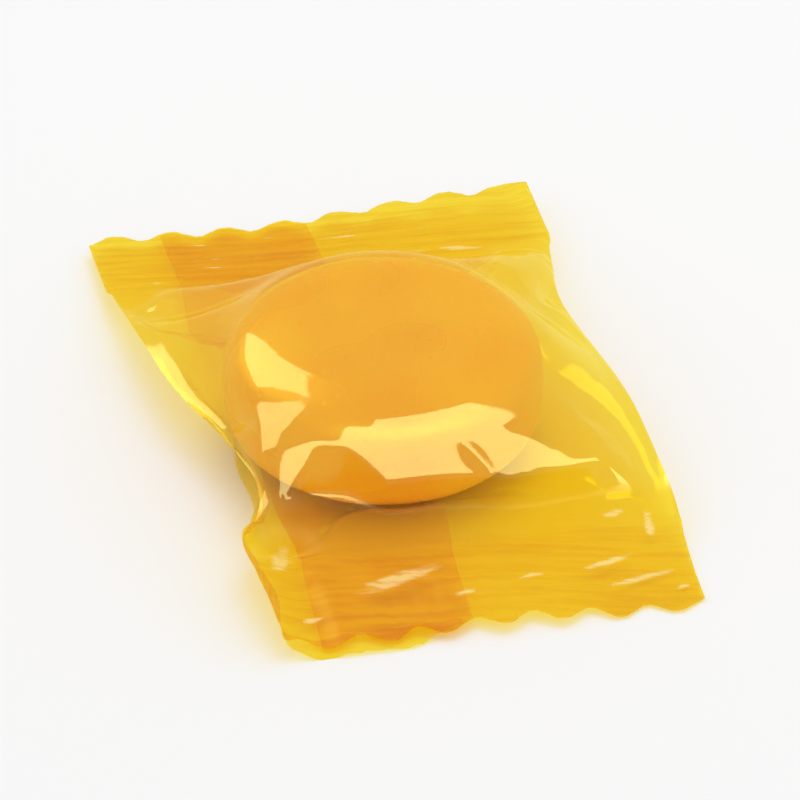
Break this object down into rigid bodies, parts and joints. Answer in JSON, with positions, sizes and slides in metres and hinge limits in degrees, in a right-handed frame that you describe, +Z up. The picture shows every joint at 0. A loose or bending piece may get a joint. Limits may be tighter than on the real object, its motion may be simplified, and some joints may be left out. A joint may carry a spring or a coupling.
{
  "type": "wrapped butterscotch sweet",
  "caption": "Round butterscotch drop in a clear yellow pillow pack with crimped, zigzag-cut ends, lying flat as one closed solid.",
  "frame": {"origin": "centre of the pack's footprint, at the level that it rests on", "axes": "+Z up, +Y along the pack from one end seal to the other, +X across it"},
  "size_m": [0.0356, 0.0592, 0.0119],
  "materials": {
    "yellow_film": "thin clear yellow film, glossy, creased",
    "butterscotch": "translucent amber boiled sugar, satin gloss with small pits"
  },
  "bodies": {
    "root": {"wrapper": "yellow_film"}
  },
  "joints": []
}
